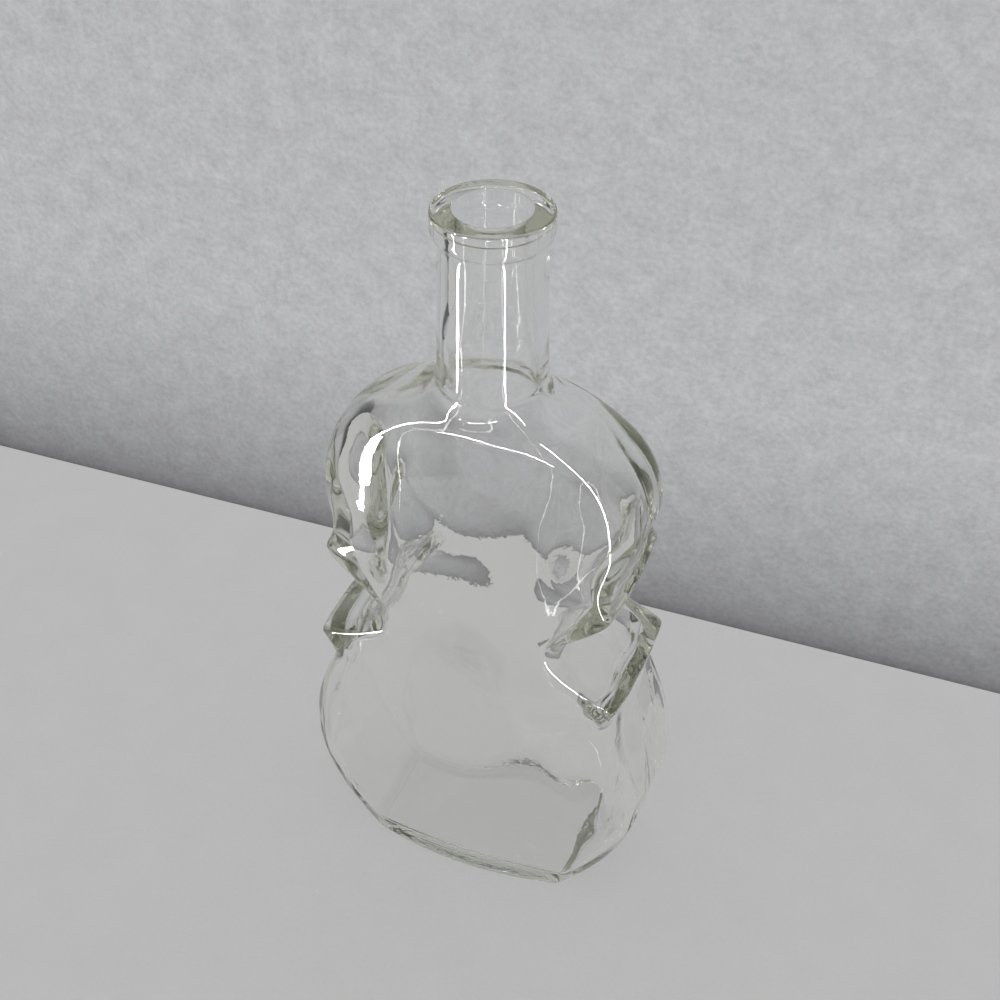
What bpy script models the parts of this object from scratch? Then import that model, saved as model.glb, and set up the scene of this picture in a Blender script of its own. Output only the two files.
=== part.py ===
"""A clear glass bottle in the shape of a violin, for a cork.

The bottle is one piece of moulded glass, so the model is one hollow solid. Its wall is a stack of level rings,
each joined to the next: up the outside from the foot to the lip, then down the bore to the inner floor.
Every ring of the body is a pillow: two arched plates, front and back, and two ribs at the sides.
Origin: on the table, under the neck's axis. +Z is up, +X along the width, and -Y is the front plate.
"""

import math

import bmesh
import bpy
import numpy as np
from mathutils import Vector, geometry

MM = 0.001

# Heights, each measured up from the one before it, the first from the table
LOWER_BOUT_HEIGHT = 37.5 * MM
LOWER_NOTCH_RISE = 30.0 * MM
LOWER_CORNER_RISE = 7.9 * MM
WAIST_RISE = 13.6 * MM
UPPER_CORNER_RISE = 16.0 * MM
UPPER_NOTCH_RISE = 5.5 * MM
UPPER_BOUT_RISE = 13.5 * MM
SHOULDER_RISE = 32.5 * MM
NECK_LENGTH = 44.6 * MM
LOWER_NOTCH_HEIGHT = LOWER_BOUT_HEIGHT + LOWER_NOTCH_RISE
LOWER_CORNER_HEIGHT = LOWER_NOTCH_HEIGHT + LOWER_CORNER_RISE
WAIST_HEIGHT = LOWER_CORNER_HEIGHT + WAIST_RISE
UPPER_CORNER_HEIGHT = WAIST_HEIGHT + UPPER_CORNER_RISE
UPPER_NOTCH_HEIGHT = UPPER_CORNER_HEIGHT + UPPER_NOTCH_RISE
UPPER_BOUT_HEIGHT = UPPER_NOTCH_HEIGHT + UPPER_BOUT_RISE
SHOULDER_HEIGHT = UPPER_BOUT_HEIGHT + SHOULDER_RISE
BOTTLE_HEIGHT = SHOULDER_HEIGHT + NECK_LENGTH

# Full widths across the ribs
BASE_WIDTH = 57.2 * MM
LOWER_BOUT_WIDTH = 97.8 * MM
LOWER_NOTCH_WIDTH = 80.4 * MM
LOWER_CORNER_WIDTH = 86.6 * MM
WAIST_WIDTH = 52.4 * MM
UPPER_CORNER_WIDTH = 80.6 * MM
UPPER_NOTCH_WIDTH = 77.2 * MM
UPPER_BOUT_WIDTH = 84.4 * MM

# Full depths between the middles of the two plates, which are deepest at the waist
BASE_DEPTH = 44.0 * MM
WAIST_DEPTH = 50.0 * MM
PLATE_TOP_DEPTH = 30.0 * MM
SHOULDER_DEPTH = 9.0 * MM
PLATE_TOP_DROP = 6.0 * MM

# Arching of the plates and ribs
BASE_CROWN = 3.6 * MM
WAIST_CROWN = 5.2 * MM
UPPER_CROWN = 7.2 * MM
RIB_BULGE = 1.0 * MM
BASE_EDGE_RADIUS = 1.0 * MM
LOWER_EDGE_RADIUS = 7.5 * MM
CORNER_EDGE_RADIUS = 1.8 * MM
LEDGE_EDGE_RADIUS = 6.0 * MM
WAIST_EDGE_RADIUS = 4.5 * MM
UPPER_EDGE_RADIUS = 6.3 * MM
SHOULDER_EDGE_RADIUS = 8.8 * MM

# Walls. Each plate has a soft hump of glass inside its middle, which fades out upwards, downwards and sideways
PLATE_WALL = 2.6 * MM
RIB_WALL = 3.0 * MM
PLATE_SWELL = 3.7 * MM
THICKEST_HEIGHT = 70.8 * MM
THICK_ABOVE = 31.5 * MM
THICK_BELOW = 42.0 * MM
THICK_HALF_WIDTH = 13.3 * MM
CORNER_FILL = 4.0 * MM
UPPER_FILL = 2.0 * MM
FLOOR_THICKNESS = 4.0 * MM

# Foot
HEEL_RADIUS = 0.8 * MM
BEARING_WIDTH = 2.6 * MM
PUSH_UP_HEIGHT = 0.5 * MM
PUSH_UP_SLOPE_WIDTH = 3.0 * MM
INNER_HEEL_RADIUS = 2.5 * MM

# Neck and finish
NECK_ROOT_DIAMETER = 27.0 * MM
NECK_TOP_DIAMETER = 25.6 * MM
LIP_DIAMETER = 29.0 * MM
LIP_BAND_HEIGHT = 4.9 * MM
LIP_UNDERCUT_HEIGHT = 2.9 * MM
LIP_EDGE_RADIUS = 0.9 * MM
BORE_DIAMETER = 18.5 * MM
BORE_EDGE_RADIUS = 0.3 * MM
MOUTH_LEDGE = 0.3 * MM
MOUTH_LEDGE_DEPTH = 4.0 * MM
CORK_SEAT_LENGTH = 21.0 * MM
NECK_BORE_DIAMETER = 21.6 * MM
BORE_FLARE_LENGTH = 12.0 * MM
NECK_BLEND = 4.0 * MM
INNER_NECK_BLEND = 9.0 * MM
NECK_BLEND_HEIGHT = 5.0 * MM

# How far along each curve of the outline its two handles lie, as shares of the step in width and in height
BASE_CURVE_SHARES = ((0.50, 0.29), (1.0, 0.59))
LOWER_BOUT_CURVE_SHARES = ((0.0, 0.45), (0.78, 0.74))
LOWER_NOTCH_CURVE_SHARES = ((0.25, 0.30), (0.70, 0.85))
LOWER_C_CURVE_SHARES = ((0.25, 0.28), (0.97, 0.51))
UPPER_C_CURVE_SHARES = ((0.0, 0.36), (0.72, 0.55))
UPPER_NOTCH_CURVE_SHARES = ((0.70, 0.25), (1.0, 0.64))
UPPER_BOUT_CURVE_SHARES = ((0.0, 0.32), (1.0, 0.62))
SHOULDER_CURVE_SHARES = ((0.0, 0.61), (0.40, 0.65))
BELLY_CURVE_SHARES = ((0.42, 0.30), (1.0, 0.66))
TAPER_CURVE_SHARES = ((0.0, 0.42), (0.48, 1.0))
CROWN_CURVE_SHARES = ((0.30, 0.52), (0.72, 0.88))
OUTLINE_SHARES = (
    BASE_CURVE_SHARES,
    LOWER_BOUT_CURVE_SHARES,
    LOWER_NOTCH_CURVE_SHARES,
    LOWER_C_CURVE_SHARES,
    UPPER_C_CURVE_SHARES,
    UPPER_NOTCH_CURVE_SHARES,
    UPPER_BOUT_CURVE_SHARES,
    SHOULDER_CURVE_SHARES,
)

# How far up the ledge, from the lower corner to the waist, its edge is roundest
LEDGE_SHARE = 0.25

# The most of a ring's half depth that the rounding between plate and rib takes up
EDGE_DEPTH_SHARE = 0.75

# How late the neck sweeps out to the lip: 1 is a quarter of a sine wave
LIP_SWEEP_POWER = 1.3

# Steps of the mesh
RIB_STEPS = 3
EDGE_STEPS = 4
PLATE_STEPS = 5
RING_POINTS = 4 * (RIB_STEPS + EDGE_STEPS + PLATE_STEPS)
PROFILE_STEPS = 24
OUTER_CURVE_STEPS = (6, 5, 2, 6, 5, 2, 3, 9)
INNER_CURVE_STEPS = (5, 4, 1, 5, 5, 1, 3, 8)
HEEL_STEPS = 2
ROUND_STEPS = 3
NECK_STEPS = 4
SHARP_ANGLE = 40.0

# Glass
GLASS_COLOUR = (0.93, 0.96, 0.93, 1.0)
GLASS_ROUGHNESS = 0.02
GLASS_INDEX = 1.52


def curve_points(start, end, shares, steps):
    """Points along one Bezier curve from start to end, whose handles lie at shares of the step between them."""
    handles = [
        Vector((start[0] + across * (end[0] - start[0]), start[1] + up * (end[1] - start[1])))
        for across, up in shares
    ]
    points = geometry.interpolate_bezier(Vector(start), handles[0], handles[1], Vector(end), steps + 1)
    return [(point.x, point.y) for point in points]


def joined_curves(knots, shares, steps):
    """One polyline through all the knots, a curve between each two."""
    line = [knots[0]]
    for index, handles in enumerate(shares):
        line += curve_points(knots[index], knots[index + 1], handles, steps[index])[1:]
    return line


def smooth_max(first, second, blend):
    """The larger of two lengths, with a fillet where they are within blend of each other."""
    overlap = max(blend - abs(first - second), 0.0) / blend
    return max(first, second) + overlap * overlap * blend / 4


def outer_body_line():
    """(half width, height) up one side of the outside, from the top of the heel to the neck."""
    knots = [
        (BASE_WIDTH / 2, 0.0),
        (LOWER_BOUT_WIDTH / 2, LOWER_BOUT_HEIGHT),
        (LOWER_NOTCH_WIDTH / 2, LOWER_NOTCH_HEIGHT),
        (LOWER_CORNER_WIDTH / 2, LOWER_CORNER_HEIGHT),
        (WAIST_WIDTH / 2, WAIST_HEIGHT),
        (UPPER_CORNER_WIDTH / 2, UPPER_CORNER_HEIGHT),
        (UPPER_NOTCH_WIDTH / 2, UPPER_NOTCH_HEIGHT),
        (UPPER_BOUT_WIDTH / 2, UPPER_BOUT_HEIGHT),
        (NECK_ROOT_DIAMETER / 2, SHOULDER_HEIGHT),
    ]
    line = joined_curves(knots, OUTLINE_SHARES, OUTER_CURVE_STEPS)
    widths, heights = zip(*line[: OUTER_CURVE_STEPS[0] + 1])
    return [(float(np.interp(HEEL_RADIUS, heights, widths)), HEEL_RADIUS)] + line[1:]


def inner_body_line():
    """The same up the inside, from the top of the inner heel. Glass fills the corners, so the inside is smoother."""
    fill = CORNER_FILL
    upper_wall = RIB_WALL + UPPER_FILL
    knots = [
        (LOWER_BOUT_WIDTH / 2 - RIB_WALL, LOWER_BOUT_HEIGHT),
        (LOWER_NOTCH_WIDTH / 2 - RIB_WALL, LOWER_NOTCH_HEIGHT - fill / 2),
        (LOWER_CORNER_WIDTH / 2 - RIB_WALL - fill, LOWER_CORNER_HEIGHT - RIB_WALL - fill / 4),
        (WAIST_WIDTH / 2 - RIB_WALL, WAIST_HEIGHT),
        (UPPER_CORNER_WIDTH / 2 - upper_wall - fill / 2, UPPER_CORNER_HEIGHT + fill / 2),
        (UPPER_NOTCH_WIDTH / 2 - upper_wall - fill / 4, UPPER_NOTCH_HEIGHT + fill / 4),
        (UPPER_BOUT_WIDTH / 2 - upper_wall, UPPER_BOUT_HEIGHT),
        (NECK_ROOT_DIAMETER / 2 - RIB_WALL, SHOULDER_HEIGHT - RIB_WALL),
    ]
    base, bout = (BASE_WIDTH / 2, 0.0), (LOWER_BOUT_WIDTH / 2, LOWER_BOUT_HEIGHT)
    widths, heights = zip(*curve_points(base, bout, BASE_CURVE_SHARES, PROFILE_STEPS))
    start, steps = FLOOR_THICKNESS + INNER_HEEL_RADIUS, INNER_CURVE_STEPS[0]
    foot = []
    for step in range(steps):
        height = start + (LOWER_BOUT_HEIGHT - start) * step / steps
        foot.append((float(np.interp(height, heights, widths)) - RIB_WALL, height))
    return foot + joined_curves(knots, OUTLINE_SHARES[1:], INNER_CURVE_STEPS[1:])


def side_profile():
    """(half depth, height) of a plate's middle, seen from the side."""
    knots = [
        (BASE_DEPTH / 2, 0.0),
        (WAIST_DEPTH / 2, WAIST_HEIGHT),
        (PLATE_TOP_DEPTH / 2, SHOULDER_HEIGHT - PLATE_TOP_DROP),
        (SHOULDER_DEPTH / 2, SHOULDER_HEIGHT),
    ]
    return joined_curves(
        knots, (BELLY_CURVE_SHARES, TAPER_CURVE_SHARES, CROWN_CURVE_SHARES), (PROFILE_STEPS,) * (len(knots) - 1)
    )


SIDE_PROFILE = side_profile()


def half_depth(height, plate_wall):
    """Half the depth of the body at a height, moved in from the plates by plate_wall."""
    depths, heights = zip(*SIDE_PROFILE)
    sunk = height + plate_wall * (height / SHOULDER_HEIGHT)
    return float(np.interp(sunk, heights, depths)) - plate_wall


def swell(height):
    """How much thicker the plates are in their middle than at their edges, at a height."""
    reach = THICK_ABOVE if height > THICKEST_HEIGHT else THICK_BELOW
    away = min(abs(height - THICKEST_HEIGHT) / reach, 1.0)
    return PLATE_SWELL * math.cos(math.pi / 2 * away) ** 2


def plate_crown(height):
    """How far the middle of a plate stands out from its edges, at a height."""
    heights = (0.0, LOWER_NOTCH_HEIGHT, UPPER_CORNER_HEIGHT, UPPER_BOUT_HEIGHT)
    return float(np.interp(height, heights, (BASE_CROWN, WAIST_CROWN, WAIST_CROWN, UPPER_CROWN)))


def edge_radius(height):
    """How round the edge between plate and rib is, at a height."""
    stations = (
        (0.0, BASE_EDGE_RADIUS),
        (LOWER_BOUT_HEIGHT, LOWER_EDGE_RADIUS),
        (LOWER_NOTCH_HEIGHT, (LOWER_EDGE_RADIUS + CORNER_EDGE_RADIUS) / 2),
        (LOWER_CORNER_HEIGHT, CORNER_EDGE_RADIUS),
        (LOWER_CORNER_HEIGHT + LEDGE_SHARE * WAIST_RISE, LEDGE_EDGE_RADIUS),
        (WAIST_HEIGHT, WAIST_EDGE_RADIUS),
        (UPPER_CORNER_HEIGHT, CORNER_EDGE_RADIUS),
        (UPPER_NOTCH_HEIGHT, (UPPER_EDGE_RADIUS + CORNER_EDGE_RADIUS) / 2),
        (UPPER_BOUT_HEIGHT, UPPER_EDGE_RADIUS),
        (SHOULDER_HEIGHT - PLATE_TOP_DROP, SHOULDER_EDGE_RADIUS),
    )
    heights, radii = zip(*stations)
    return float(np.interp(height, heights, radii))


def pillow_quadrant(half_width, middle_depth, radius, crown, rib_wall, thickening):
    """Points from the +X axis round to just before the +Y axis: up the rib, over the edge, along the plate.

    The inside keeps the arch of the outside, which spans its rib_wall too, less the thickening in its middle.
    """
    crown = min(crown, middle_depth / 3)
    bulge = min(RIB_BULGE, half_width / 3)
    spread = half_width - bulge + rib_wall

    def arch(x):
        return middle_depth - crown * (x / spread) ** 2

    corner = Vector((half_width - bulge, arch(half_width - bulge)))
    across = min(radius, corner.x / 2)
    along = min(radius, corner.y * EDGE_DEPTH_SHARE)

    def rib(y):
        return Vector((half_width - (half_width - corner.x) * (y / corner.y) ** 2, y))

    def plate(x):
        return Vector((x, arch(x) - thickening * math.exp(-((x / THICK_HALF_WIDTH) ** 2))))

    start, end = rib(corner.y - along), plate(corner.x - across)
    points = [rib(start.y * step / RIB_STEPS) for step in range(RIB_STEPS)]
    for step in range(EDGE_STEPS):
        t = step / EDGE_STEPS
        points.append(start * (1 - t) ** 2 + corner * 2 * t * (1 - t) + end * t**2)
    points += [plate(end.x * (1 - step / PLATE_STEPS)) for step in range(PLATE_STEPS)]
    return points + [plate(0.0)]


def pillow(half_width, middle_depth, radius, crown, rib_wall=0.0, thickening=0.0):
    """One level ring of the body, anticlockwise from the +X axis: four quadrants, mirrored from the first."""
    right = pillow_quadrant(half_width, middle_depth, radius, crown, rib_wall, thickening)
    left = [Vector((-point.x, point.y)) for point in reversed(right[:-1])]
    half = right + left
    return half + [Vector((point.x, -point.y)) for point in reversed(half[1:-1])]


def circle(radius):
    """One level ring of the neck, with as many points as a pillow."""
    turn = 2 * math.pi / RING_POINTS
    return [Vector((radius * math.cos(turn * step), radius * math.sin(turn * step))) for step in range(RING_POINTS)]


def even_share(height):
    """How far the points of a ring have moved from a pillow's spacing to even angles: 0 below the bout, 1 above."""
    share = (height - UPPER_BOUT_HEIGHT) / (SHOULDER_HEIGHT - UPPER_BOUT_HEIGHT)
    share = min(max(share, 0.0), 1.0)
    return share * share * (3 - 2 * share)


def grown_to(points, radius, share, blend):
    """The ring pushed out to a circle wherever it lies inside it, with a fillet between the two."""
    angles = np.array([math.atan2(point.y, point.x) for point in points]) % (2 * math.pi)
    reaches = np.array([point.length for point in points])
    even = np.arange(RING_POINTS) * 2 * math.pi / RING_POINTS
    turned = angles + share * (even - angles)
    moved = np.interp(turned, angles, reaches, period=2 * math.pi)
    return [
        Vector((math.cos(angle), math.sin(angle))) * smooth_max(reach, radius, blend)
        for angle, reach in zip(turned, moved)
    ]


def level(points, height):
    """A flat ring lifted to its height."""
    return [Vector((point.x, point.y, height)) for point in points]


def body_rings(line, rib_wall, plate_wall, neck_radius, blend):
    """The rings of the body's outside or inside, from the foot to just above the shoulder."""
    rings = []
    for half_width, height in line:
        radius = max(edge_radius(height) - rib_wall / 2, BASE_EDGE_RADIUS)
        thickening = swell(height) if plate_wall else 0.0
        middle_depth = half_depth(height, plate_wall)
        ring = pillow(half_width, middle_depth, radius, plate_crown(height), rib_wall, thickening)
        if height > UPPER_BOUT_HEIGHT:
            ring = grown_to(ring, neck_radius, even_share(height), blend)
        rings.append(level(ring, height))
    top_width, top_height = line[-1]
    for step in range(1, ROUND_STEPS + 1):
        share = step / ROUND_STEPS
        fillet = smooth_max(top_width - share * blend, neck_radius, blend) - neck_radius
        ring = [point * (1 + fillet * (point.x / neck_radius) ** 2 / neck_radius) for point in circle(neck_radius)]
        rings.append(level(ring, top_height + share * NECK_BLEND_HEIGHT))
    return rings


def foot_rings():
    """The underside: the sunk middle, its slope, the flat bearing ring and the rounded heel."""
    half_width, middle_depth = BASE_WIDTH / 2, BASE_DEPTH / 2

    def inset(amount, height):
        return level(pillow(half_width - amount, middle_depth - amount, BASE_EDGE_RADIUS, BASE_CROWN), height)

    bearing = HEEL_RADIUS + BEARING_WIDTH
    rings = [inset(bearing + PUSH_UP_SLOPE_WIDTH, PUSH_UP_HEIGHT), inset(bearing, 0.0)]
    for step in range(HEEL_STEPS):
        angle = math.pi / 2 * step / HEEL_STEPS
        rings.append(inset(HEEL_RADIUS * (1 - math.sin(angle)), HEEL_RADIUS * (1 - math.cos(angle))))
    return rings


def floor_rings():
    """The inner heel and the flat inner floor, from the wall inwards."""
    half_width, height = inner_body_line()[0]
    middle_depth = half_depth(height, PLATE_WALL)
    rings = []
    for step in range(1, HEEL_STEPS + 1):
        angle = math.pi / 2 * step / HEEL_STEPS
        amount = INNER_HEEL_RADIUS * (1 - math.cos(angle))
        ring = pillow(half_width - amount, middle_depth - amount, INNER_HEEL_RADIUS, BASE_CROWN, RIB_WALL + amount)
        rings.append(level(ring, FLOOR_THICKNESS + INNER_HEEL_RADIUS * (1 - math.sin(angle))))
    return rings


def neck_rings(bottom):
    """The outside of the neck, from above the shoulder to the rounded underside of the lip."""
    top = BOTTLE_HEIGHT - LIP_BAND_HEIGHT - LIP_UNDERCUT_HEIGHT
    rings = []
    for step in range(1, NECK_STEPS + 1):
        share = step / NECK_STEPS
        radius = (NECK_ROOT_DIAMETER + share * (NECK_TOP_DIAMETER - NECK_ROOT_DIAMETER)) / 2
        rings.append(level(circle(radius), bottom + share * (top - bottom)))
    for step in range(1, ROUND_STEPS + 1):
        share = step / ROUND_STEPS
        sweep = math.sin(math.pi / 2 * share) ** LIP_SWEEP_POWER
        radius = (NECK_TOP_DIAMETER + sweep * (LIP_DIAMETER - NECK_TOP_DIAMETER)) / 2
        rings.append(level(circle(radius), top + LIP_UNDERCUT_HEIGHT * share))
    return rings


def lip_rings():
    """The banded lip above its underside: the rounded top edge, the flat top and the rounded mouth."""
    lip, mouth = LIP_DIAMETER / 2, BORE_DIAMETER / 2
    rings = []
    for step in range(ROUND_STEPS + 1):
        angle = math.pi / 2 * step / ROUND_STEPS
        radius = lip - LIP_EDGE_RADIUS * (1 - math.cos(angle))
        rings.append(level(circle(radius), BOTTLE_HEIGHT - LIP_EDGE_RADIUS * (1 - math.sin(angle))))
    for step in range(ROUND_STEPS + 1):
        angle = math.pi / 2 * step / ROUND_STEPS
        radius = mouth + BORE_EDGE_RADIUS * (1 - math.sin(angle))
        rings.append(level(circle(radius), BOTTLE_HEIGHT - BORE_EDGE_RADIUS * (1 - math.cos(angle))))
    return rings


def bore_rings():
    """The inside of the neck, from the mouth down: a fine ledge, the seat for the cork, then a wider bore."""
    mouth = BORE_DIAMETER / 2
    seat = mouth - MOUTH_LEDGE
    seat_top = BOTTLE_HEIGHT - MOUTH_LEDGE_DEPTH
    seat_bottom = BOTTLE_HEIGHT - CORK_SEAT_LENGTH
    rings = [level(circle(mouth), seat_top), level(circle(seat), seat_top - MOUTH_LEDGE)]
    for step in range(NECK_STEPS + 1):
        share = step / NECK_STEPS
        eased = share * share * (3 - 2 * share)
        radius = seat + eased * (NECK_BORE_DIAMETER / 2 - seat)
        rings.append(level(circle(radius), seat_bottom - share * BORE_FLARE_LENGTH))
    return rings


def skin(name, rings, material):
    """One closed solid: each ring joined to the next by a band of faces, and the first and last ones capped."""
    mesh = bmesh.new()
    loops = [[mesh.verts.new(point) for point in ring] for ring in rings]
    for lower, upper in zip(loops, loops[1:]):
        for index in range(RING_POINTS):
            after = (index + 1) % RING_POINTS
            mesh.faces.new((lower[index], lower[after], upper[after], upper[index]))
    mesh.faces.new(tuple(reversed(loops[0])))
    mesh.faces.new(tuple(loops[-1]))
    bmesh.ops.recalc_face_normals(mesh, faces=mesh.faces)
    data = bpy.data.meshes.new(name)
    mesh.to_mesh(data)
    mesh.free()
    data.shade_smooth()
    data.set_sharp_from_angle(angle=math.radians(SHARP_ANGLE))
    data.materials.append(material)
    solid = bpy.data.objects.new(name, data)
    bpy.context.scene.collection.objects.link(solid)
    return solid


def clear_glass():
    """Clear container glass with a slight green tint where it is thick."""
    material = bpy.data.materials.new("clear_glass")
    material.use_nodes = True
    shader = material.node_tree.nodes["Principled BSDF"]
    shader.inputs["Base Color"].default_value = GLASS_COLOUR
    shader.inputs["Roughness"].default_value = GLASS_ROUGHNESS
    shader.inputs["Metallic"].default_value = 0.0
    shader.inputs["IOR"].default_value = GLASS_INDEX
    shader.inputs["Transmission Weight"].default_value = 1.0
    return material


def main():
    for leftover in list(bpy.data.objects):
        bpy.data.objects.remove(leftover)
    outside = body_rings(outer_body_line(), 0.0, 0.0, NECK_ROOT_DIAMETER / 2, NECK_BLEND)
    inside = body_rings(inner_body_line(), RIB_WALL, PLATE_WALL, NECK_BORE_DIAMETER / 2, INNER_NECK_BLEND)
    rings = foot_rings() + outside + neck_rings(outside[-1][0].z) + lip_rings()
    rings += bore_rings() + inside[::-1] + floor_rings()
    skin("glass_bottle", rings, clear_glass())


main()
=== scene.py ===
"""The looks of a clear glass bottle shaped like a violin, standing on a pale table before a grey cloth.

The glass is one closed wall, modelled as by hand: a many-sided disc is extruded ring by ring up the outside,
over the lip, down the bore and across the inner floor. Lengths are in metres. +Z is up, and -Y is the front.
"""

import math

import bmesh
import bpy
import numpy as np
from mathutils import Matrix, Vector, geometry, noise


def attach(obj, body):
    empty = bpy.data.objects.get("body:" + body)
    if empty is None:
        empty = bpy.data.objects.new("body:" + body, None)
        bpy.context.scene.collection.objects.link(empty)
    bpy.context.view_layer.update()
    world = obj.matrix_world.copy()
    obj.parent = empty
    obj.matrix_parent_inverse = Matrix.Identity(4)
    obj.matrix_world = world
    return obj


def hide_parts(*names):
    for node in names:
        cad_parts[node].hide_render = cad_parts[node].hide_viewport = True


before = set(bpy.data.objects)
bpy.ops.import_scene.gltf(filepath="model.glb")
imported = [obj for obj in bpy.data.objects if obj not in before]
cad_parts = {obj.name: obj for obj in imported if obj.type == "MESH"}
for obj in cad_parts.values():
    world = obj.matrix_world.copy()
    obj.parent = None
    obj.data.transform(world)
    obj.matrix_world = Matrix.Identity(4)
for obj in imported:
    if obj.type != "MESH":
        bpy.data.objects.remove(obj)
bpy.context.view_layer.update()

MM = 0.001
GLASS_NODE = "glass_bottle"

# Half widths and heights up one side of the outline
BASE_HALF_WIDTH = 28.6 * MM
LOWER_BOUT = (48.75 * MM, 37.5 * MM)
LOWER_NOTCH = (40.2 * MM, 67.5 * MM)
LOWER_CORNER = (43.3 * MM, 75.4 * MM)
WAIST = (26.2 * MM, 89.0 * MM)
UPPER_CORNER = (40.3 * MM, 105.0 * MM)
UPPER_NOTCH = (38.6 * MM, 110.5 * MM)
UPPER_BOUT = (42.2 * MM, 124.0 * MM)
SHOULDER = (13.5 * MM, 156.5 * MM)
BOTTLE_HEIGHT = 201.1 * MM

# Half depths of the plates' middles, and their heights
BASE_SIDE = (22.0 * MM, 0.0)
WAIST_SIDE = (25.0 * MM, 89.0 * MM)
PLATE_TOP_SIDE = (15.0 * MM, 150.5 * MM)
SHOULDER_SIDE = (4.5 * MM, 156.5 * MM)

# Arching of the plates and ribs. An arch is never more than a third of its ring's half depth or half width
BASE_CROWN = 3.6 * MM
WAIST_CROWN = 5.2 * MM
UPPER_CROWN = 7.2 * MM
RIB_BULGE = 1.0 * MM
ARCH_LIMIT_SHARE = 1 / 3

# Radii of the edges between plates and ribs, and the most that they take of a ring's half width and depth
BASE_EDGE = 1.0 * MM
LOWER_EDGE = 7.5 * MM
CORNER_EDGE = 1.8 * MM
LEDGE_EDGE = 6.0 * MM
LEDGE_SHARE = 0.25
WAIST_EDGE = 4.5 * MM
UPPER_EDGE = 6.3 * MM
SHOULDER_EDGE = 8.8 * MM
EDGE_WIDTH_SHARE = 0.5
EDGE_DEPTH_SHARE = 0.75

# Walls: the plates are thickest in their middle under the waist, and beside the ribs of the upper bout
PLATE_WALL = 2.6 * MM
RIB_WALL = 3.0 * MM
PLATE_SWELL = 3.7 * MM
THICKEST_HEIGHT = 70.8 * MM
THICK_ABOVE = 31.5 * MM
THICK_BELOW = 42.0 * MM
THICK_HALF_WIDTH = 13.3 * MM
EDGE_FILL = 4.0 * MM
EDGE_FILL_HEIGHT = 127.0 * MM
EDGE_FILL_ABOVE = 40.0 * MM
EDGE_FILL_BELOW = 45.0 * MM
EDGE_FILL_START = 18.5 * MM
EDGE_FILL_WIDTH = 9.0 * MM
CORNER_FILL = 4.0 * MM
UPPER_FILL = 2.0 * MM
FLOOR = 4.0 * MM
INNER_HEEL = 2.5 * MM

# Slow waves of blown glass on the inside, and the mould seam on the outside
WAVE_SIDE = 0.9 * MM
WAVE_MIDDLE = 0.06 * MM
WAVE_START = 14.0 * MM
WAVE_FULL = 30.0 * MM
WAVE_ACROSS = 7.0 * MM
WAVE_UP = 16.0 * MM
SEAM_RISE = 0.18 * MM
SEAM_HALF_WIDTH = 0.35 * MM

# Foot
HEEL = 0.8 * MM
HEEL_CREASE_SHARE = 0.25
BEARING_WIDTH = 2.6 * MM
PUSH_UP = 0.5 * MM
PUSH_UP_SLOPE = 3.0 * MM

# Neck and lip
NECK_ROOT = 13.5 * MM
NECK_TOP = 12.8 * MM
LIP = 14.5 * MM
LIP_BAND = 4.9 * MM
LIP_UNDERCUT = 2.9 * MM
LIP_SWEEP_POWER = 1.3
LIP_EDGE = 0.9 * MM
BORE = 9.25 * MM
BORE_EDGE = 0.3 * MM
MOUTH_LEDGE = 0.3 * MM
MOUTH_LEDGE_DEPTH = 4.0 * MM
LEDGE_CLEAR = 0.3 * MM
CORK_SEAT = 21.0 * MM
NECK_BORE = 10.8 * MM
BORE_FLARE = 12.0 * MM
NECK_BLEND = 4.0 * MM
INNER_NECK_BLEND = 9.0 * MM
NECK_BLEND_HEIGHT = 5.0 * MM

# Where the two handles of each curve lie, as shares of its step in width or depth and in height
OUTLINE_SHARES = (
    ((0.50, 0.29), (1.0, 0.59)),
    ((0.0, 0.45), (0.78, 0.74)),
    ((0.25, 0.30), (0.70, 0.85)),
    ((0.25, 0.28), (0.97, 0.51)),
    ((0.0, 0.36), (0.72, 0.55)),
    ((0.70, 0.25), (1.0, 0.64)),
    ((0.0, 0.32), (1.0, 0.62)),
    ((0.0, 0.61), (0.40, 0.65)),
)
SIDE_SHARES = (
    ((0.42, 0.30), (1.0, 0.66)),
    ((0.0, 0.42), (0.48, 1.0)),
    ((0.30, 0.52), (0.72, 0.88)),
)

# Steps of the mesh, how far the floor's rings lie inside even steps, and the slack of a full turn
RIB_STEPS = 7
EDGE_STEPS = 7
PLATE_STEPS = 11
RING_POINTS = 4 * (RIB_STEPS + EDGE_STEPS + PLATE_STEPS)
OUTER_STEPS = (12, 9, 5, 11, 9, 4, 6, 18)
INNER_STEPS = (11, 8, 4, 10, 8, 3, 6, 16)
SIDE_STEPS = 32
ROUND_STEPS = 4
NECK_STEPS = 8
CAP_STEPS = 5
CAP_OFFSET = 0.35
ANGLE_SLACK = 0.001

# Glass: its index, fine ripples, and a tint that grows with the thickness
GLASS_INDEX = 1.52
RIPPLE_SCALE = 600.0
RIPPLE_DETAIL = 2.0
RIPPLE_HEIGHT = 0.014 * MM
TINT_COLOUR = (0.3, 0.36, 0.0, 1.0)
TINT_DENSITY = 5.0

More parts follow.
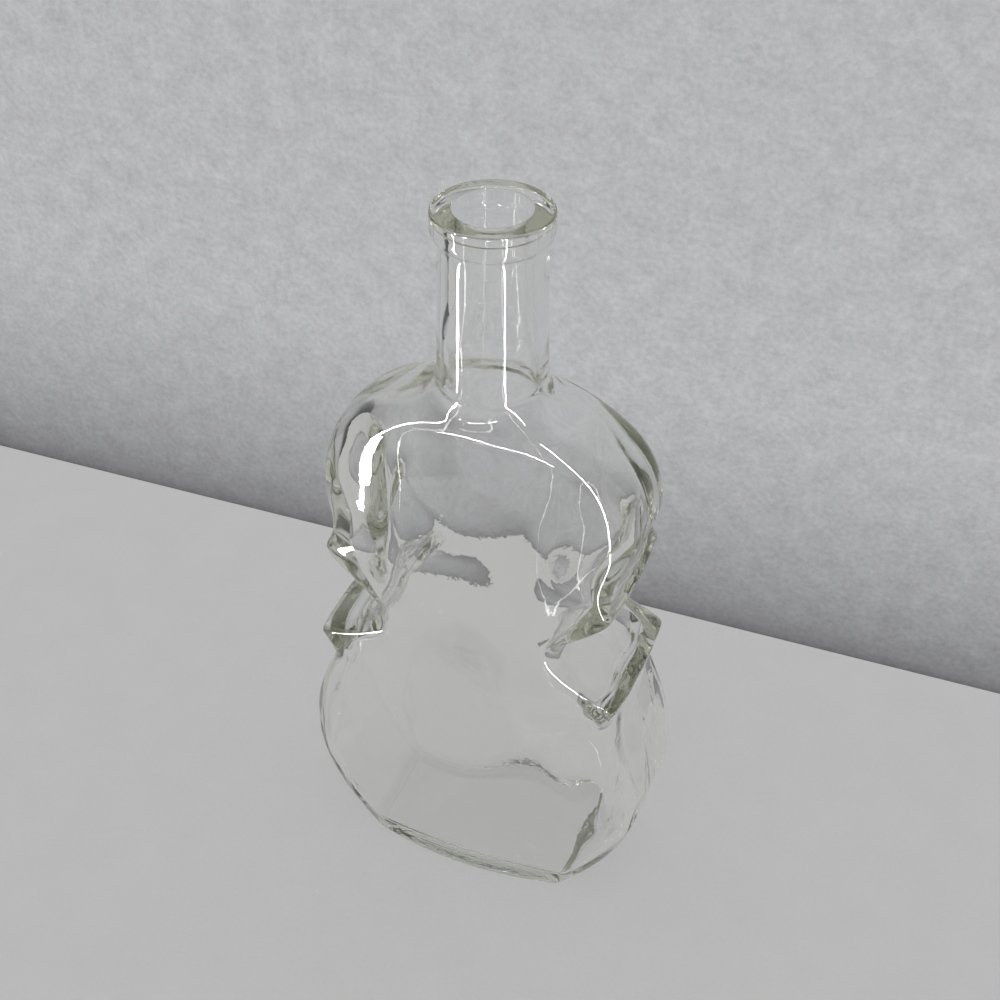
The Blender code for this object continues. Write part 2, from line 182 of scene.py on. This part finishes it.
# The table and the grey cloth behind the bottle. A mottle is a depth, a scale and a fine scale
STAGE_ROUGHNESS = 0.9
CLOUD_DETAIL = 5.0
GRAIN_DETAIL = 2.0
CLOUD_ROUGHNESS = 0.62
TABLE_SIZE = 6.0
TABLE_COLOUR = (0.49, 0.49, 0.49)
TABLE_MOTTLE = (0.07, 60.0, 900.0)
TABLE_SHOWN = 0.75
CLOTH_DISTANCE = 104.6 * MM
CLOTH_TURN = math.radians(1.7)
CLOTH_HEIGHT = 0.9
CLOTH_WIDTH = 3.0
CLOTH_COLOUR = (0.466, 0.469, 0.482, 1.0)
# Painted shade: the dark grey that the cloth turns to towards the fold at its foot
CLOTH_FOLD_SHADE_COLOUR = (0.105, 0.105, 0.111, 1.0)
CLOTH_MOTTLE = (0.42, 120.0, 520.0)
CLOTH_SHOWN = 1.0
# Painted shade: the height over which that shade fades out up the cloth, and the bend of its fade
CLOTH_SHADE_RISE = 0.09
CLOTH_SHADE_POWER = 0.42
# Painted shade far out at the cloth's sides: where it starts, where it is full, and how dark it gets
CLOTH_SIDE_START = 0.24
CLOTH_SIDE_END = 0.34
CLOTH_SIDE_SHADE = 0.12

# The camera, fitted to the lip, the neck, the corners and the base in the photograph
CAMERA_PLACE = (123.92 * MM, -297.65 * MM, 371.11 * MM)
CAMERA_AZIMUTH = 22.27
CAMERA_ELEVATION = 38.1
CAMERA_ROLL = 0.23
CAMERA_LENS = 57.95
CAMERA_NEAR = 10.0 * MM

# The room: its light, and the grey walls and dark ceiling that the glass shows, between two upward slopes
ROOM_LIGHT = 1.0
ROOM_COLOUR = (0.48, 0.48, 0.485, 1.0)
CEILING_COLOUR = (0.03, 0.03, 0.03, 1.0)
CEILING_START = 0.05
CEILING_FULL = 0.35

# Upright narrow lamps: azimuth in degrees, distance, lowest and highest point, width and power
STRIP_LAMPS = {
    "left_strip": (-49.0, 270.0 * MM, 0.0, 400.0 * MM, 6.0 * MM, 0.9),
    "right_strip": (46.0, 170.0 * MM, 0.0, 600.0 * MM, 4.0 * MM, 0.9),
    "neck_strip": (-49.0, 100.0 * MM, 100.0 * MM, 145.0 * MM, 4.0 * MM, 0.045),
}

# A level narrow lamp over the front
BAR_PLACE = (-60.0 * MM, -350.0 * MM, 330.0 * MM)
BAR_TILT = math.radians(60.0)
BAR_LENGTH = 380.0 * MM
BAR_WIDTH = 6.0 * MM
BAR_POWER = 0.9

# How often light goes on through the glass, off shiny surfaces and off plain ones
GLASS_BOUNCES = 64
SHINY_BOUNCES = 32
PLAIN_BOUNCES = 4


def eased(share):
    """A share held between 0 and 1, with a gentle start and end."""
    held = min(max(share, 0.0), 1.0)
    return held * held * (3 - 2 * held)


def hill(height, middle, above, below):
    """A smooth hill along the height: 1 at its middle, and 0 from so far above and below it."""
    reach = above if height > middle else below
    away = min(abs(height - middle) / reach, 1.0)
    return math.cos(math.pi / 2 * away) ** 2


def curve(start, end, shares, steps):
    """Points along a Bezier curve between two knots, whose handles lie at shares of the step between them."""
    handles = [
        Vector((start[0] + across * (end[0] - start[0]), start[1] + up * (end[1] - start[1])))
        for across, up in shares
    ]
    points = geometry.interpolate_bezier(Vector(start), handles[0], handles[1], Vector(end), steps + 1)
    return [(point.x, point.y) for point in points]


def joined(knots, shares, steps):
    """One polyline through all the knots."""
    line = [knots[0]]
    for index, handles in enumerate(shares):
        line += curve(knots[index], knots[index + 1], handles, steps[index])[1:]
    return line


SIDE_LINE = joined((BASE_SIDE, WAIST_SIDE, PLATE_TOP_SIDE, SHOULDER_SIDE), SIDE_SHARES, (SIDE_STEPS,) * 3)


def half_depth(height, wall):
    """Half the depth at a height, inside a plate of this wall."""
    depths, heights = zip(*SIDE_LINE)
    sunk = height + wall * (height / SHOULDER[1])
    return float(np.interp(sunk, heights, depths)) - wall


def plate_crown(height):
    """How far the middle of a plate stands out from its edges, at a height."""
    heights = (0.0, LOWER_NOTCH[1], UPPER_CORNER[1], UPPER_BOUT[1])
    return float(np.interp(height, heights, (BASE_CROWN, WAIST_CROWN, WAIST_CROWN, UPPER_CROWN)))


def edge_radius(height):
    """The radius of the edge between plate and rib at a height."""
    stations = (
        (0.0, BASE_EDGE),
        (LOWER_BOUT[1], LOWER_EDGE),
        (LOWER_NOTCH[1], (LOWER_EDGE + CORNER_EDGE) / 2),
        (LOWER_CORNER[1], CORNER_EDGE),
        (LOWER_CORNER[1] + LEDGE_SHARE * (WAIST[1] - LOWER_CORNER[1]), LEDGE_EDGE),
        (WAIST[1], WAIST_EDGE),
        (UPPER_CORNER[1], CORNER_EDGE),
        (UPPER_NOTCH[1], (UPPER_EDGE + CORNER_EDGE) / 2),
        (UPPER_BOUT[1], UPPER_EDGE),
        (PLATE_TOP_SIDE[1], SHOULDER_EDGE),
    )
    heights, radii = zip(*stations)
    return float(np.interp(height, heights, radii))


def outer_line():
    """(half width, height) up the outside of one side, from the heel to the shoulder."""
    knots = (
        (BASE_HALF_WIDTH, 0.0),
        LOWER_BOUT,
        LOWER_NOTCH,
        LOWER_CORNER,
        WAIST,
        UPPER_CORNER,
        UPPER_NOTCH,
        UPPER_BOUT,
        SHOULDER,
    )
    line = joined(knots, OUTLINE_SHARES, OUTER_STEPS)
    widths, heights = zip(*line[: OUTER_STEPS[0] + 1])
    return [(float(np.interp(HEEL, heights, widths)), HEEL)] + line[1:]


def inner_line():
    """The same up the inside, which is smoother, because the corners are filled with glass."""
    fill = CORNER_FILL

    def inwards(knot, filled=0.0, up=0.0):
        return (knot[0] - RIB_WALL - filled, knot[1] + up)

    lower = curve((BASE_HALF_WIDTH, 0.0), LOWER_BOUT, OUTLINE_SHARES[0], SIDE_STEPS)
    widths, heights = zip(*lower)
    start = FLOOR + INNER_HEEL
    steps = INNER_STEPS[0]
    foot = []
    for step in range(steps):
        height = start + (LOWER_BOUT[1] - start) * step / steps
        foot.append((float(np.interp(height, heights, widths)) - RIB_WALL, height))
    knots = (
        inwards(LOWER_BOUT),
        inwards(LOWER_NOTCH, 0.0, -fill / 2),
        inwards(LOWER_CORNER, fill, -RIB_WALL - fill / 4),
        inwards(WAIST),
        inwards(UPPER_CORNER, UPPER_FILL + fill / 2, fill / 2),
        inwards(UPPER_NOTCH, UPPER_FILL + fill / 4, fill / 4),
        inwards(UPPER_BOUT, UPPER_FILL),
        inwards(SHOULDER, up=-RIB_WALL),
    )
    return foot + joined(knots, OUTLINE_SHARES[1:], INNER_STEPS[1:])


def pillow(half_width, middle, radius, crown=BASE_CROWN, wall=0.0, thickening=0.0, edge_fill=0.0, seam=0.0):
    """One level ring of the body, anticlockwise from +X: two arched plates, two ribs and four round edges.

    The inside keeps the arch of the outside, which spans its wall too. The plates are thicker by the
    thickening in their middle and by the edge_fill beside the ribs. The seam stands out from each rib.
    """
    crown = min(crown, middle * ARCH_LIMIT_SHARE)
    bulge = min(RIB_BULGE, half_width * ARCH_LIMIT_SHARE)
    spread = half_width - bulge + wall

    def arch(x):
        drop = crown * (x / spread) ** 2
        return middle - drop - edge_fill * eased((x - EDGE_FILL_START) / EDGE_FILL_WIDTH)

    corner = Vector((half_width - bulge, arch(half_width - bulge)))
    across = min(radius, corner.x * EDGE_WIDTH_SHARE)
    along = min(radius, corner.y * EDGE_DEPTH_SHARE)

    def rib(y):
        return Vector((half_width - (half_width - corner.x) * (y / corner.y) ** 2, y))

    def plate(x):
        swollen = thickening * math.exp(-((x / THICK_HALF_WIDTH) ** 2))
        return Vector((x, arch(x) - swollen))

    start, end = rib(corner.y - along), plate(corner.x - across)
    quadrant = [Vector((half_width + seam, 0.0)), rib(SEAM_HALF_WIDTH)]
    quadrant += [rib(start.y * step / (RIB_STEPS - 1)) for step in range(1, RIB_STEPS - 1)]
    for step in range(EDGE_STEPS):
        t = step / EDGE_STEPS
        quadrant.append(start * (1 - t) ** 2 + corner * 2 * t * (1 - t) + end * t**2)
    quadrant += [plate(end.x * (1 - step / PLATE_STEPS)) for step in range(PLATE_STEPS)]
    half = quadrant + [plate(0.0)] + [Vector((-point.x, point.y)) for point in reversed(quadrant)]
    return half + [Vector((point.x, -point.y)) for point in reversed(half[1:-1])]


def circle(radius):
    """One level ring of the neck."""
    angles = [2 * math.pi / RING_POINTS * step for step in range(RING_POINTS)]
    return [Vector((radius * math.cos(angle), radius * math.sin(angle))) for angle in angles]


def level(points, height):
    """A flat ring lifted to its height."""
    return [Vector((point.x, point.y, height)) for point in points]


def shrunk(ring, share):
    """A level ring drawn in towards the axis."""
    return [Vector((point.x * share, point.y * share, point.z)) for point in ring]


def filleted(first, second, blend):
    """The larger of two reaches, with a fillet where they are within blend of each other."""
    overlap = max(blend - abs(first - second), 0.0) / blend
    return max(first, second) + overlap * overlap * blend / 4


def joined_to_neck(points, radius, share, blend):
    """The ring pushed out to the neck's circle wherever it lies inside it, with a fillet between the two.

    Its points have moved to even angles by the share.
    """
    full = 2 * math.pi
    angles = np.array([math.atan2(point.y, point.x) for point in points]) % full
    reaches = np.array([point.length for point in points])
    turned = angles + share * (np.arange(RING_POINTS) * full / RING_POINTS - angles)
    moved = np.interp(turned, angles, reaches, period=full)
    return [
        Vector((math.cos(angle), math.sin(angle))) * filleted(reach, radius, blend)
        for angle, reach in zip(turned, moved)
    ]


def body_rings(line, rib_wall, plate_wall, neck_radius, blend):
    """The rings of the body's outside or inside, up to just above the shoulder. The outside has no walls."""
    rings = []
    for half_width, height in line:
        radius = max(edge_radius(height) - rib_wall / 2, BASE_EDGE)
        middle = half_depth(height, plate_wall)
        thickening, edge_fill, seam = 0.0, 0.0, SEAM_RISE
        if plate_wall:
            thickening = PLATE_SWELL * hill(height, THICKEST_HEIGHT, THICK_ABOVE, THICK_BELOW)
            edge_fill = EDGE_FILL * hill(height, EDGE_FILL_HEIGHT, EDGE_FILL_ABOVE, EDGE_FILL_BELOW)
            seam = 0.0
        ring = pillow(half_width, middle, radius, plate_crown(height), rib_wall, thickening, edge_fill, seam)
        if height > UPPER_BOUT[1]:
            neck_share = eased((height - UPPER_BOUT[1]) / (SHOULDER[1] - UPPER_BOUT[1]))
            ring = joined_to_neck(ring, neck_radius, neck_share, blend)
        rings.append(level(ring, height))
    top_width, top_height = line[-1]
    for step in range(1, ROUND_STEPS + 1):
        share = step / ROUND_STEPS
        fillet = filleted(top_width - share * blend, neck_radius, blend) / neck_radius - 1
        ring = [point * (1 + fillet * (point.x / neck_radius) ** 2) for point in circle(neck_radius)]
        rings.append(level(ring, top_height + share * NECK_BLEND_HEIGHT))
    return rings


def waved(ring):
    """An inner ring with the slow waves of blown glass: strong along the ribs, faint across the plates."""
    moved = []
    for index, point in enumerate(ring):
        before, after = ring[index - 1], ring[(index + 1) % RING_POINTS]
        outwards = Vector((after.y - before.y, before.x - after.x, 0.0)).normalized()
        share = eased((abs(point.x) - WAVE_START) / (WAVE_FULL - WAVE_START))
        depth = WAVE_MIDDLE + (WAVE_SIDE - WAVE_MIDDLE) * share
        place = Vector((point.x / WAVE_ACROSS, point.y / WAVE_ACROSS, point.z / WAVE_UP))
        moved.append(point + outwards * depth * noise.noise(place))
    return moved


def foot_rings():
    """The underside from its middle outwards: the push-up, its slope, the flat bearing ring and the heel."""
    half_width, middle = BASE_HALF_WIDTH, BASE_SIDE[0]

    def inset(amount, height):
        return level(pillow(half_width - amount, middle - amount, BASE_EDGE), height)

    bearing = HEEL + BEARING_WIDTH
    rim = inset(bearing + PUSH_UP_SLOPE, PUSH_UP)
    rings = [shrunk(rim, step / CAP_STEPS) for step in range(1, CAP_STEPS)]
    rings += [rim, inset(bearing + PUSH_UP_SLOPE / 2, PUSH_UP / 2)]
    rings += [inset(bearing, 0.0), inset(HEEL * (1 + HEEL_CREASE_SHARE), 0.0)]
    for step in range(ROUND_STEPS):
        angle = math.pi / 2 * step / ROUND_STEPS
        rings.append(inset(HEEL * (1 - math.sin(angle)), HEEL * (1 - math.cos(angle))))
    return rings


def floor_rings():
    """The inner heel and the inner floor, from the wall inwards."""
    half_width, height = inner_line()[0]
    middle = half_depth(height, PLATE_WALL)
    rings = []
    for step in range(1, ROUND_STEPS + 1):
        angle = math.pi / 2 * step / ROUND_STEPS
        amount = INNER_HEEL * (1 - math.cos(angle))
        ring = pillow(half_width - amount, middle - amount, INNER_HEEL, BASE_CROWN, RIB_WALL + amount)
        rings.append(level(ring, FLOOR + INNER_HEEL * (1 - math.sin(angle))))
    rim = rings[-1]
    rings += [shrunk(rim, (step - CAP_OFFSET) / CAP_STEPS) for step in range(CAP_STEPS, 0, -1)]
    return rings


def neck_rings(bottom):
    """The outside of the neck, from above the shoulder to the rounded underside of the lip."""
    top = BOTTLE_HEIGHT - LIP_BAND - LIP_UNDERCUT
    rings = []
    for step in range(1, NECK_STEPS + 1):
        share = step / NECK_STEPS
        radius = NECK_ROOT + share * (NECK_TOP - NECK_ROOT)
        rings.append(level(circle(radius), bottom + share * (top - bottom)))
    for step in range(1, ROUND_STEPS + 1):
        share = step / ROUND_STEPS
        radius = NECK_TOP + (LIP - NECK_TOP) * math.sin(math.pi / 2 * share) ** LIP_SWEEP_POWER
        rings.append(level(circle(radius), top + LIP_UNDERCUT * share))
    return rings


def lip_rings():
    """The lip: its upright band, rounded top edge, flat top and rounded mouth."""
    band = BOTTLE_HEIGHT - LIP_BAND
    rings = [level(circle(LIP), band + LIP_EDGE), level(circle(LIP), BOTTLE_HEIGHT - 2 * LIP_EDGE)]
    for step in range(ROUND_STEPS + 1):
        angle = math.pi / 2 * step / ROUND_STEPS
        radius = LIP - LIP_EDGE * (1 - math.cos(angle))
        rings.append(level(circle(radius), BOTTLE_HEIGHT - LIP_EDGE * (1 - math.sin(angle))))
    for step in range(ROUND_STEPS + 1):
        angle = math.pi / 2 * step / ROUND_STEPS
        radius = BORE + BORE_EDGE * (1 - math.sin(angle))
        rings.append(level(circle(radius), BOTTLE_HEIGHT - BORE_EDGE * (1 - math.cos(angle))))
    return rings


def bore_rings(bottom):
    """The inside of the neck from the mouth down: a fine ledge, the seat for the cork, then a wider bore."""
    seat = BORE - MOUTH_LEDGE
    seat_top = BOTTLE_HEIGHT - MOUTH_LEDGE_DEPTH
    seat_bottom = BOTTLE_HEIGHT - CORK_SEAT
    ledge_bottom = seat_top - MOUTH_LEDGE
    rings = [
        level(circle(BORE), seat_top + LEDGE_CLEAR),
        level(circle(BORE), seat_top),
        level(circle(seat), ledge_bottom),
        level(circle(seat), ledge_bottom - LEDGE_CLEAR),
    ]
    for step in range(1, ROUND_STEPS):
        share = step / ROUND_STEPS
        rings.append(level(circle(seat), ledge_bottom + share * (seat_bottom - ledge_bottom)))
    for step in range(NECK_STEPS):
        share = step / NECK_STEPS
        radius = seat + eased(share) * (NECK_BORE - seat)
        rings.append(level(circle(radius), seat_bottom - share * BORE_FLARE))
    flare_bottom = seat_bottom - BORE_FLARE
    for step in range(ROUND_STEPS):
        share = step / ROUND_STEPS
        rings.append(level(circle(NECK_BORE), flare_bottom + share * (bottom - flare_bottom)))
    return rings


def alone(piece):
    """Selects one piece and nothing else, and makes it the active one."""
    bpy.ops.object.select_all(action="DESELECT")
    piece.select_set(True)
    bpy.context.view_layer.objects.active = piece


def place_selected(piece, ring):
    """Moves the selected vertices, in the order of their angles round the axis, to the points of a ring."""
    mesh = bmesh.from_edit_mesh(piece.data)
    picked = [vertex for vertex in mesh.verts if vertex.select]
    picked.sort(key=lambda vertex: math.atan2(vertex.co.y, vertex.co.x) % (2 * math.pi - ANGLE_SLACK))
    for vertex, point in zip(picked, ring):
        vertex.co = point
    bmesh.update_edit_mesh(piece.data)


def extruded(name, rings):
    """A closed piece: a disc on the first ring, extruded to each of the others in turn."""
    bpy.ops.object.select_all(action="DESELECT")
    bpy.ops.mesh.primitive_circle_add(vertices=RING_POINTS, radius=LIP, fill_type="NGON")
    piece = bpy.context.active_object
    piece.name = name
    bpy.ops.object.mode_set(mode="EDIT")
    bpy.ops.mesh.select_mode(type="FACE")
    bpy.ops.mesh.select_all(action="SELECT")
    place_selected(piece, rings[0])
    for ring in rings[1:]:
        bpy.ops.mesh.extrude_region_move()
        place_selected(piece, ring)
    bpy.ops.mesh.select_all(action="SELECT")
    bpy.ops.mesh.normals_make_consistent(inside=False)
    bpy.ops.object.mode_set(mode="OBJECT")
    return piece


def glass_wall():
    """The whole bottle as one closed wall of glass."""
    outside = body_rings(outer_line(), 0.0, 0.0, NECK_ROOT, NECK_BLEND)
    inside = body_rings(inner_line(), RIB_WALL, PLATE_WALL, NECK_BORE, INNER_NECK_BLEND)
    inside[ROUND_STEPS:-ROUND_STEPS] = [waved(ring) for ring in inside[ROUND_STEPS:-ROUND_STEPS]]
    rings = foot_rings() + outside + neck_rings(outside[-1][0].z) + lip_rings()
    rings += bore_rings(inside[-1][0].z) + inside[::-1] + floor_rings()
    piece = extruded("bottle_glass", rings)
    alone(piece)
    bpy.ops.object.shade_smooth()
    smooth = piece.modifiers.new("smooth", "SUBSURF")
    smooth.levels = smooth.render_levels = 1
    bpy.ops.object.modifier_apply(modifier=smooth.name)
    return piece


def new_material(name):
    """A material with its nodes, their tree and its Principled shader."""
    material = bpy.data.materials.new(name)
    material.use_nodes = True
    return material, material.node_tree, material.node_tree.nodes["Principled BSDF"]


def math_node(tree, operation, *given):
    """A Math node fed by sockets or plain numbers, in order. Returns its result."""
    node = tree.nodes.new("ShaderNodeMath")
    node.operation = operation
    for socket, value in zip(node.inputs, given):
        if isinstance(value, float):
            socket.default_value = value
        else:
            tree.links.new(value, socket)
    return node.outputs["Value"]


def scaled_colour(tree, scale):
    """A node that scales a colour. Returns the socket that takes the colour, and the scaled colour."""
    node = tree.nodes.new("ShaderNodeVectorMath")
    node.operation = "SCALE"
    tree.links.new(scale, node.inputs["Scale"])
    return node.inputs[0], node.outputs["Vector"]


def mixed_colour(tree, share, first, second):
    """A colour that turns from the first to the second."""
    node = tree.nodes.new("ShaderNodeMix")
    node.data_type = "RGBA"
    node.inputs["A"].default_value = first
    node.inputs["B"].default_value = second
    tree.links.new(share, node.inputs["Factor"])
    return node.outputs["Result"]


def mixed_shader(tree, share, first, second):
    """A shader that turns from the first to the second."""
    node = tree.nodes.new("ShaderNodeMixShader")
    tree.links.new(share, node.inputs["Fac"])
    tree.links.new(first, node.inputs[1])
    tree.links.new(second, node.inputs[2])
    return node.outputs["Shader"]


def ramp(tree, value, start, end, low=0.0, high=1.0):
    """A straight ramp of a value, from low at its start to high at its end."""
    node = tree.nodes.new("ShaderNodeMapRange")
    node.inputs["From Min"].default_value = start
    node.inputs["From Max"].default_value = end
    node.inputs["To Min"].default_value = low
    node.inputs["To Max"].default_value = high
    tree.links.new(value, node.inputs["Value"])
    return node.outputs["Result"]


def places(tree, kind):
    """The place on a piece, or the direction in the room, with its three parts."""
    coordinates = tree.nodes.new("ShaderNodeTexCoord")
    split = tree.nodes.new("ShaderNodeSeparateXYZ")
    tree.links.new(coordinates.outputs[kind], split.inputs["Vector"])
    return split.outputs


def seen_rays(tree):
    """The kinds of ray, and 1 for those that the eye sees straight, through the glass or mirrored in it."""
    path = tree.nodes.new("ShaderNodeLightPath")
    in_glass = math_node(tree, "MAXIMUM", path.outputs["Is Glossy Ray"], path.outputs["Is Transmission Ray"])
    return path, math_node(tree, "MAXIMUM", path.outputs["Is Camera Ray"], in_glass)


def glass_material():
    """Clear container glass: sharp reflections, and a green tint that grows with the thickness."""
    material, tree, shader = new_material("clear_glass")
    shader.inputs["Base Color"].default_value = (1.0, 1.0, 1.0, 1.0)
    shader.inputs["Roughness"].default_value = 0.0
    shader.inputs["IOR"].default_value = GLASS_INDEX
    shader.inputs["Transmission Weight"].default_value = 1.0
    place = tree.nodes.new("ShaderNodeTexCoord")
    ripples = tree.nodes.new("ShaderNodeTexNoise")
    ripples.inputs["Scale"].default_value = RIPPLE_SCALE
    ripples.inputs["Detail"].default_value = RIPPLE_DETAIL
    bump = tree.nodes.new("ShaderNodeBump")
    bump.inputs["Distance"].default_value = RIPPLE_HEIGHT
    tree.links.new(place.outputs["Object"], ripples.inputs["Vector"])
    tree.links.new(ripples.outputs["Fac"], bump.inputs["Height"])
    tree.links.new(bump.outputs["Normal"], shader.inputs["Normal"])
    tint = tree.nodes.new("ShaderNodeVolumeAbsorption")
    tint.inputs["Color"].default_value = TINT_COLOUR
    tint.inputs["Density"].default_value = TINT_DENSITY
    tree.links.new(tint.outputs["Volume"], tree.nodes["Material Output"].inputs["Volume"])
    return material


def mottle_group():
    """Soft cloudy variation of a surface's colour at two scales, as on felt or thick paper."""
    group = bpy.data.node_groups.new("mottle", "ShaderNodeTree")
    for name in ("Depth", "Scale", "Fine Scale"):
        group.interface.new_socket(name, in_out="INPUT", socket_type="NodeSocketFloat")
    group.interface.new_socket("Shade", in_out="OUTPUT", socket_type="NodeSocketFloat")
    given = group.nodes.new("NodeGroupInput")
    result = group.nodes.new("NodeGroupOutput")
    place = group.nodes.new("ShaderNodeTexCoord")
    clouds = []
    for name, detail in (("Scale", CLOUD_DETAIL), ("Fine Scale", GRAIN_DETAIL)):
        cloud = group.nodes.new("ShaderNodeTexNoise")
        cloud.inputs["Detail"].default_value = detail
        cloud.inputs["Roughness"].default_value = CLOUD_ROUGHNESS
        group.links.new(place.outputs["Object"], cloud.inputs["Vector"])
        group.links.new(given.outputs[name], cloud.inputs["Scale"])
        clouds.append(cloud.outputs["Fac"])
    centred = math_node(group, "SUBTRACT", math_node(group, "ADD", *clouds), 1.0)
    shade = math_node(group, "MULTIPLY_ADD", centred, given.outputs["Depth"], 1.0)
    group.links.new(shade, result.inputs["Shade"])
    return group


def mottled(tree, group, values):
    """A mottle in a stage material. Returns the socket for its plain colour, and the mottled colour."""
    mottle = tree.nodes.new("ShaderNodeGroup")
    mottle.node_tree = group
    for name, value in zip(("Depth", "Scale", "Fine Scale"), values):
        mottle.inputs[name].default_value = value
    return scaled_colour(tree, mottle.outputs["Shade"])


def stage_surface(tree, shader, colour, shown):
    """A stage of a colour: lit by the room, and for a share shown as it is to the eye and in the glass."""
    shader.inputs["Roughness"].default_value = STAGE_ROUGHNESS
    shader.inputs["Specular IOR Level"].default_value = 0.0
    tree.links.new(colour, shader.inputs["Base Color"])
    glow = tree.nodes.new("ShaderNodeEmission")
    tree.links.new(colour, glow.inputs["Color"])
    seen = seen_rays(tree)[1]
    share = math_node(tree, "MULTIPLY", seen, shown)
    return mixed_shader(tree, share, shader.outputs["BSDF"], glow.outputs["Emission"])


def table_paint(group):
    """The table's even pale grey."""
    material, tree, shader = new_material("table_paint")
    plain, colour = mottled(tree, group, TABLE_MOTTLE)
    plain.default_value = TABLE_COLOUR
    surface = stage_surface(tree, shader, colour, TABLE_SHOWN)
    tree.links.new(surface, tree.nodes["Material Output"].inputs["Surface"])
    return material


def grey_cloth(group):
    """The cloth's mottled grey, with painted shade towards the fold at its foot and far out at its sides. Its
    back isn't there.
    """
    material, tree, shader = new_material("grey_cloth")
    place = places(tree, "Object")
    # Painted shade: darker towards the fold at the cloth's foot
    rise = ramp(tree, place["Y"], -CLOTH_HEIGHT / 2, CLOTH_SHADE_RISE - CLOTH_HEIGHT / 2)
    bent = math_node(tree, "POWER", rise, CLOTH_SHADE_POWER)
    fold_shaded = mixed_colour(tree, bent, CLOTH_FOLD_SHADE_COLOUR, CLOTH_COLOUR)
    # Painted shade: darker far out at the sides
    across = math_node(tree, "ABSOLUTE", place["X"])
    sides = ramp(tree, across, CLOTH_SIDE_START, CLOTH_SIDE_END, 1.0, CLOTH_SIDE_SHADE)
    bright, shaded = scaled_colour(tree, sides)
    tree.links.new(fold_shaded, bright)
    plain, colour = mottled(tree, group, CLOTH_MOTTLE)
    tree.links.new(shaded, plain)
    surface = stage_surface(tree, shader, colour, CLOTH_SHOWN)
    see_through = tree.nodes.new("ShaderNodeBsdfTransparent")
    side = tree.nodes.new("ShaderNodeNewGeometry")
    either = mixed_shader(tree, side.outputs["Backfacing"], surface, see_through.outputs["BSDF"])
    tree.links.new(either, tree.nodes["Material Output"].inputs["Surface"])
    return material


def table_top(group):
    """The pale table."""
    bpy.ops.mesh.primitive_plane_add(size=TABLE_SIZE)
    top = bpy.context.active_object
    top.name = "table_top"
    top.data.materials.append(table_paint(group))


def cloth_backdrop(group):
    """The grey cloth, an upright sheet behind the bottle."""
    place = (0.0, CLOTH_DISTANCE, CLOTH_HEIGHT / 2)
    bpy.ops.mesh.primitive_plane_add(size=1.0, location=place, rotation=(math.pi / 2, 0.0, CLOTH_TURN))
    cloth = bpy.context.active_object
    cloth.name = "cloth_backdrop"
    cloth.scale = (CLOTH_WIDTH, CLOTH_HEIGHT, 1.0)
    bpy.ops.object.transform_apply(location=False, rotation=False, scale=True)
    cloth.visible_diffuse = False
    cloth.data.materials.append(grey_cloth(group))


def photo_camera():
    """A camera where the photograph was taken from."""
    turn = (
        Matrix.Rotation(math.radians(CAMERA_AZIMUTH), 4, "Z")
        @ Matrix.Rotation(math.radians(90 - CAMERA_ELEVATION), 4, "X")
        @ Matrix.Rotation(math.radians(CAMERA_ROLL), 4, "Z")
    )
    bpy.ops.object.camera_add(location=CAMERA_PLACE, rotation=turn.to_euler())
    camera = bpy.context.active_object
    camera.data.lens = CAMERA_LENS
    camera.data.clip_start = CAMERA_NEAR
    bpy.context.scene.camera = camera


def room():
    """An even white light from all round. The glass shows grey walls and a dark ceiling instead of it."""
    world = bpy.data.worlds.new("room")
    bpy.context.scene.world = world
    world.use_nodes = True
    tree = world.node_tree
    light = tree.nodes["Background"]
    light.inputs["Color"].default_value = (1.0, 1.0, 1.0, 1.0)
    light.inputs["Strength"].default_value = ROOM_LIGHT
    shown = tree.nodes.new("ShaderNodeBackground")
    overhead = ramp(tree, places(tree, "Generated")["Z"], CEILING_START, CEILING_FULL)
    tree.links.new(mixed_colour(tree, overhead, ROOM_COLOUR, CEILING_COLOUR), shown.inputs["Color"])
    path, seen = seen_rays(tree)
    before_surfaces = math_node(tree, "LESS_THAN", path.outputs["Diffuse Depth"], 1.0)
    direct = math_node(tree, "MULTIPLY", seen, before_surfaces)
    either = mixed_shader(tree, direct, light.outputs["Background"], shown.outputs["Background"])
    tree.links.new(either, tree.nodes["World Output"].inputs["Surface"])


def narrow_lamp(name, place, turn, across, along, power):
    """A narrow lamp that the glass shows as a thin highlight. It lights nothing else."""
    bpy.ops.object.light_add(type="AREA", location=place, rotation=turn)
    lamp = bpy.context.active_object
    lamp.name = name
    lamp.data.shape = "RECTANGLE"
    lamp.data.size = across
    lamp.data.size_y = along
    lamp.data.energy = power
    lamp.visible_camera = False
    lamp.visible_diffuse = False


def lamps():
    """The upright lamps round the bottle, which face it, and the level one over its front."""
    for name, (azimuth, distance, low, high, width, power) in STRIP_LAMPS.items():
        angle = math.radians(azimuth)
        place = (math.sin(angle) * distance, -math.cos(angle) * distance, (low + high) / 2)
        narrow_lamp(name, place, (math.pi / 2, 0.0, angle), width, high - low, power)
    narrow_lamp("top_bar", BAR_PLACE, (BAR_TILT, 0.0, 0.0), BAR_LENGTH, BAR_WIDTH, BAR_POWER)


bottle = glass_wall()
bottle.data.materials.append(glass_material())
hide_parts(GLASS_NODE)
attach(bottle, "root")
stage_mottle = mottle_group()
table_top(stage_mottle)
cloth_backdrop(stage_mottle)
photo_camera()
room()
lamps()

bpy.context.scene.view_settings.view_transform = "Standard"
cycles = bpy.context.scene.cycles
cycles.max_bounces = GLASS_BOUNCES
cycles.transmission_bounces = GLASS_BOUNCES
cycles.glossy_bounces = SHINY_BOUNCES
cycles.diffuse_bounces = PLAIN_BOUNCES
